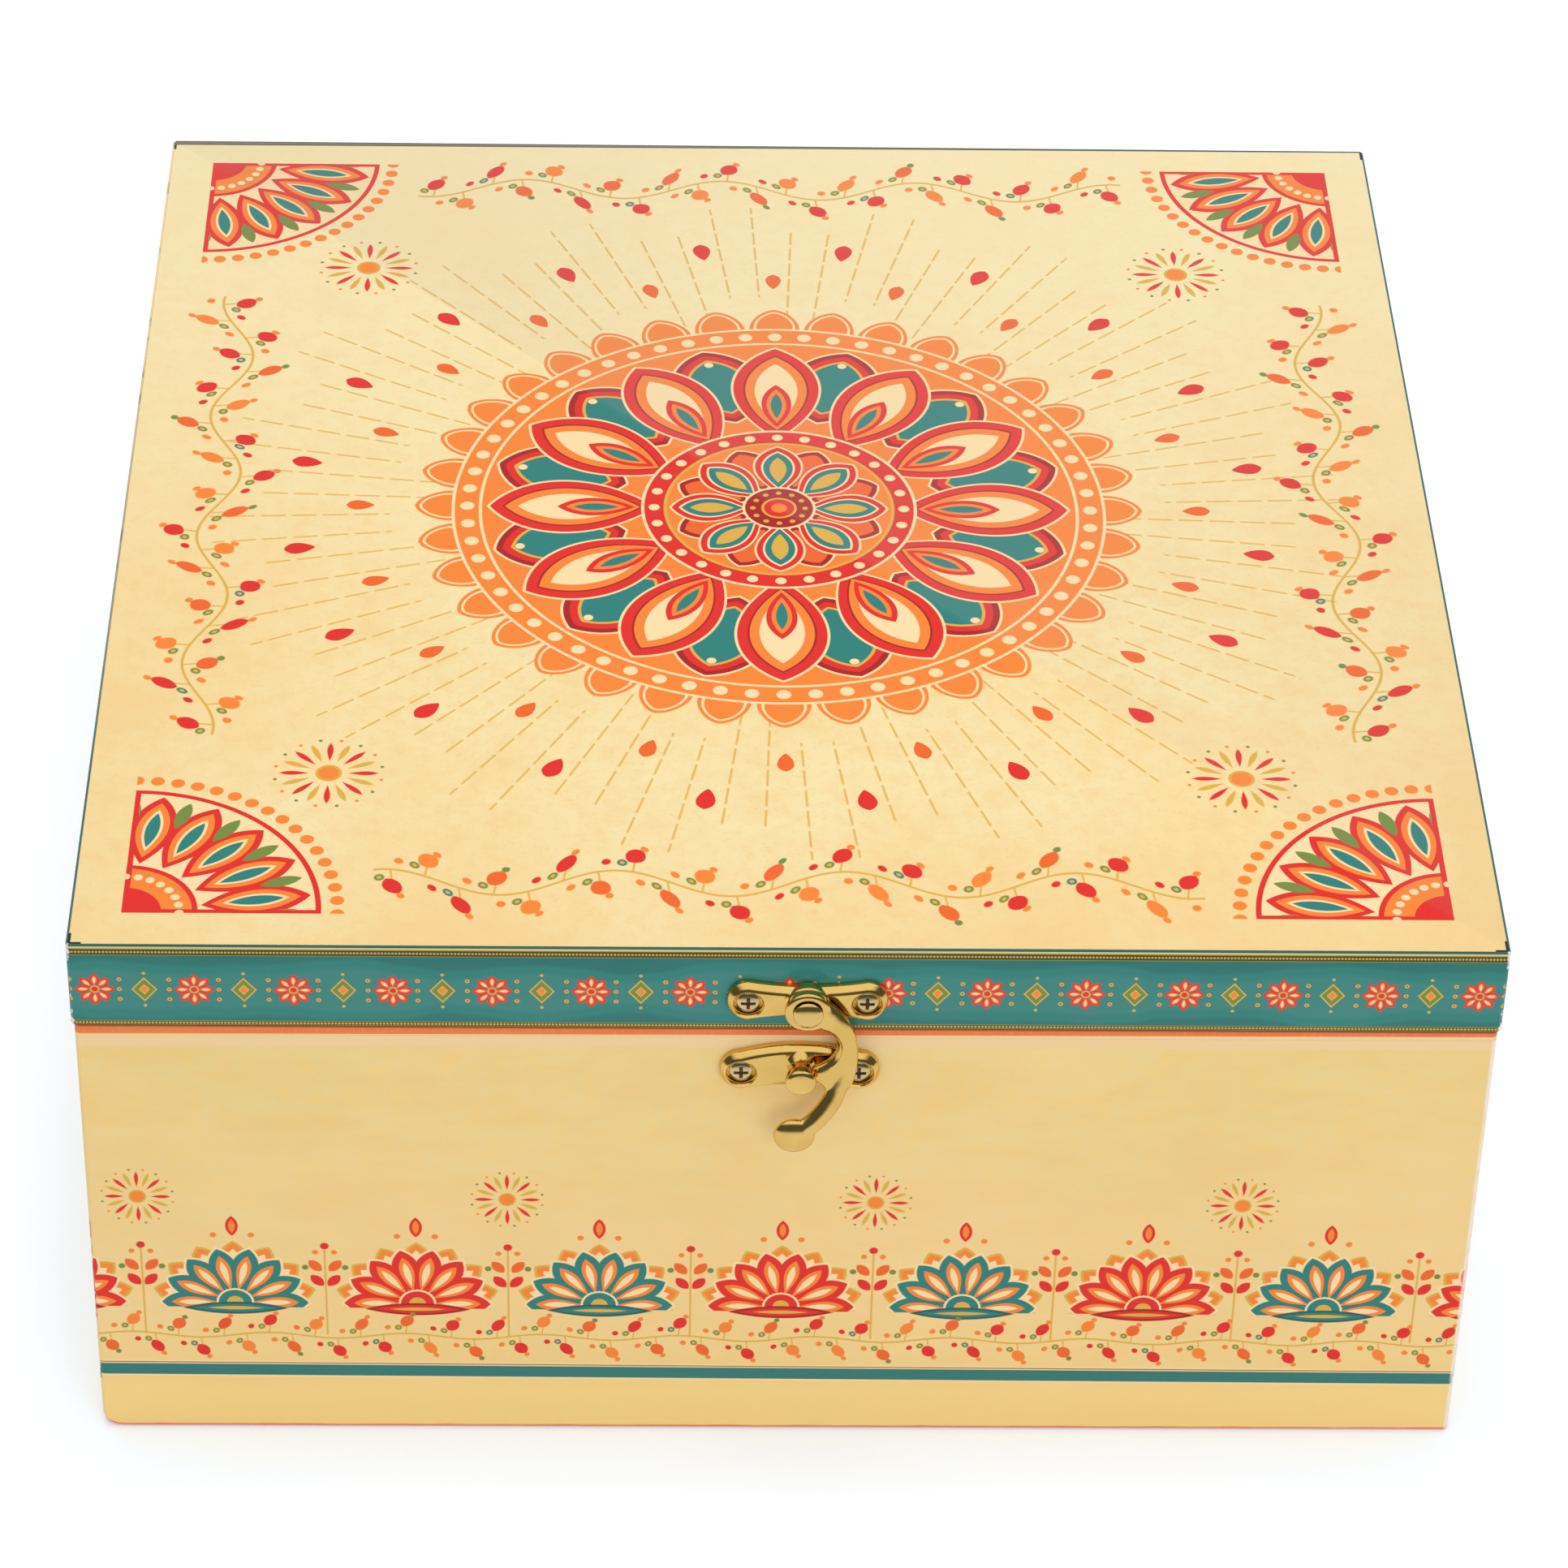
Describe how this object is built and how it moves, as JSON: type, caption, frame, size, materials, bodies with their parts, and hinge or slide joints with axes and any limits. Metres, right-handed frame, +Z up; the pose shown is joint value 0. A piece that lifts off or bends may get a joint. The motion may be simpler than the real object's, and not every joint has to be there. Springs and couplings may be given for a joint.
{
  "type": "jar gift box",
  "caption": "Square hinged gift box of papered fibreboard with a shallow printed lid, a brass swing-hook latch and divided cells holding lidded glass jars.",
  "frame": {"origin": "on the surface the box stands on, under the middle of the closed lid", "axes": "+Z up, +X to the right seen from the front, the latch side towards -Y"},
  "size_m": [0.25, 0.2769, 0.115],
  "materials": {
    "fibreboard": "raw medium-density fibreboard, sanded",
    "side_print": "cream printed art paper, lightly glossed",
    "top_print": "cream printed art paper, lightly glossed",
    "band_print": "teal printed art paper, glossy laminate",
    "lining_paper": "orange coated paper, satin",
    "divider_board": "paper-faced greyboard",
    "latch_brass": "cast and bright plated, polished",
    "screw_plate": "pale brass plated, satin",
    "hinge_brass": "rolled sheet, bright plated",
    "hinge_screw": "pale brass plated, satin",
    "jar_glass": "clear moulded glass",
    "jar_cap": "gold lacquered tinplate",
    "cap_liner": "white foam liner"
  },
  "bodies": {
    "base": {"base_front_wall": "fibreboard", "base_back_wall": "fibreboard", "base_left_wall": "fibreboard", "base_right_wall": "fibreboard", "base_bottom_panel": "fibreboard", "base_front_print": "side_print", "base_back_print": "side_print", "base_left_print": "side_print", "base_right_print": "side_print", "base_lining": "lining_paper", "base_bottom_paper": "lining_paper", "divider_across": "divider_board", "divider_along": "divider_board", "latch_keeper": "latch_brass", "latch_keeper_screw_left": "screw_plate", "latch_keeper_screw_right": "screw_plate", "hinge_left_base_leaf": "hinge_brass", "hinge_left_pin": "hinge_brass", "hinge_right_base_leaf": "hinge_brass", "hinge_right_pin": "hinge_brass", "hinge_left_base_screw_left": "hinge_screw", "hinge_left_base_screw_right": "hinge_screw", "hinge_right_base_screw_left": "hinge_screw", "hinge_right_base_screw_right": "hinge_screw", "jar_1_body": "jar_glass", "jar_2_body": "jar_glass", "jar_3_body": "jar_glass", "jar_4_body": "jar_glass"},
    "lid": {"lid_panel": "fibreboard", "lid_front_rail": "fibreboard", "lid_back_rail": "fibreboard", "lid_left_rail": "fibreboard", "lid_right_rail": "fibreboard", "lid_top_print": "top_print", "lid_band_print": "band_print", "lid_lining": "lining_paper", "latch_plate": "latch_brass", "latch_rivet": "latch_brass", "latch_plate_screw_left": "screw_plate", "latch_plate_screw_right": "screw_plate", "hinge_left_lid_leaf": "hinge_brass", "hinge_right_lid_leaf": "hinge_brass", "hinge_left_lid_screw_left": "hinge_screw", "hinge_left_lid_screw_right": "hinge_screw", "hinge_right_lid_screw_left": "hinge_screw", "hinge_right_lid_screw_right": "hinge_screw"},
    "hook": {"latch_hook": "latch_brass"},
    "jar_1_cap": {"jar_1_cap": "jar_cap", "jar_1_cap_liner": "cap_liner"},
    "jar_2_cap": {"jar_2_cap": "jar_cap", "jar_2_cap_liner": "cap_liner"},
    "jar_3_cap": {"jar_3_cap": "jar_cap", "jar_3_cap_liner": "cap_liner"},
    "jar_4_cap": {"jar_4_cap": "jar_cap", "jar_4_cap_liner": "cap_liner"}
  },
  "joints": [
    {"name": "lid_hinge", "type": "hinge", "parent": "base", "child": "lid", "pos_m": [0, 0.13485, 0.09685], "axis": [-1, 0, 0], "range_deg": [0, 170]},
    {"name": "hook_swing", "type": "hinge", "parent": "lid", "child": "hook", "pos_m": [0.0032, -0.1358, 0.1042], "axis": [0, -1, 0], "range_deg": [0, 100]},
    {"name": "jar_1_cap_twist", "type": "hinge", "parent": "base", "child": "jar_1_cap", "pos_m": [-0.0602, -0.06407, 0.1018], "axis": [0, 0, 1], "range_deg": [0, 90]},
    {"name": "jar_2_cap_twist", "type": "hinge", "parent": "base", "child": "jar_2_cap", "pos_m": [0.0602, -0.06407, 0.1018], "axis": [0, 0, 1], "range_deg": [0, 90]},
    {"name": "jar_3_cap_twist", "type": "hinge", "parent": "base", "child": "jar_3_cap", "pos_m": [-0.0602, 0.06457, 0.1018], "axis": [0, 0, 1], "range_deg": [0, 90]},
    {"name": "jar_4_cap_twist", "type": "hinge", "parent": "base", "child": "jar_4_cap", "pos_m": [0.0602, 0.06457, 0.1018], "axis": [0, 0, 1], "range_deg": [0, 90]}
  ]
}
